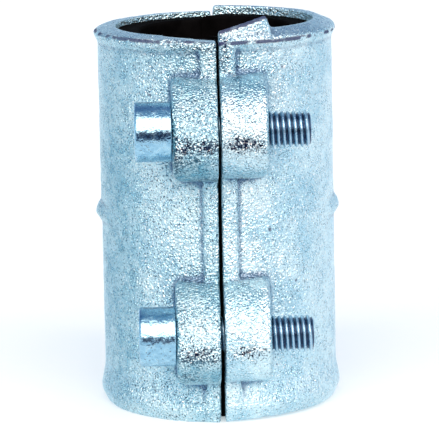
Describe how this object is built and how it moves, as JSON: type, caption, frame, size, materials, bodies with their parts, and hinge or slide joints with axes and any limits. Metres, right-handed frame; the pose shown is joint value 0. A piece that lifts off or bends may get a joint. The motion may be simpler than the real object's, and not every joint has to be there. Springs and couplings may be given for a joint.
{
  "type": "split clamp coupling",
  "caption": "Hinged clamp coupling in galvanised cast iron that closes round a pipe with a rubber liner and two socket head screws.",
  "frame": {"origin": "centre of the liner's bore, midway along the left half", "axes": "+Z along the bore towards the rim with the tab, -Y towards the screw lugs, +X towards the half that swings"},
  "size_m": [0.0552, 0.0757, 0.0896],
  "materials": {
    "left_casting": "hot-dip galvanised, bright and sparkling",
    "right_casting": "hot-dip galvanised, bright and sparkling",
    "liner": "matte black",
    "screw_steel": "bright zinc plate, slightly blue",
    "pin_steel": "zinc plate"
  },
  "bodies": {
    "left_half": {"left_shell": "left_casting", "left_gasket": "liner", "hinge_pin": "pin_steel"},
    "right_half": {"right_shell": "right_casting", "right_gasket": "liner"},
    "upper_cap_screw": {"upper_screw": "screw_steel"},
    "lower_cap_screw": {"lower_screw": "screw_steel"}
  },
  "joints": [
    {"name": "upper_screw_turn", "type": "hinge", "parent": "left_half", "child": "upper_cap_screw", "pos_m": [0, -0.03105, 0.0234], "axis": [1, 0, 0], "range_deg": [-360, 105]},
    {"name": "lower_screw_turn", "type": "hinge", "parent": "left_half", "child": "lower_cap_screw", "pos_m": [0, -0.03105, -0.0217], "axis": [1, 0, 0], "range_deg": [-360, 105]},
    {"name": "right_half_swing", "type": "hinge", "parent": "left_half", "child": "right_half", "pos_m": [0, 0.0328, 0], "axis": [0, 0, 1], "range_deg": [-0.33, 1.12]}
  ],
  "couplings": [
    {"joint": "lower_screw_turn", "follows": "upper_screw_turn", "ratio": 1},
    {"joint": "right_half_swing", "follows": "upper_screw_turn", "ratio": -0.0031158}
  ]
}
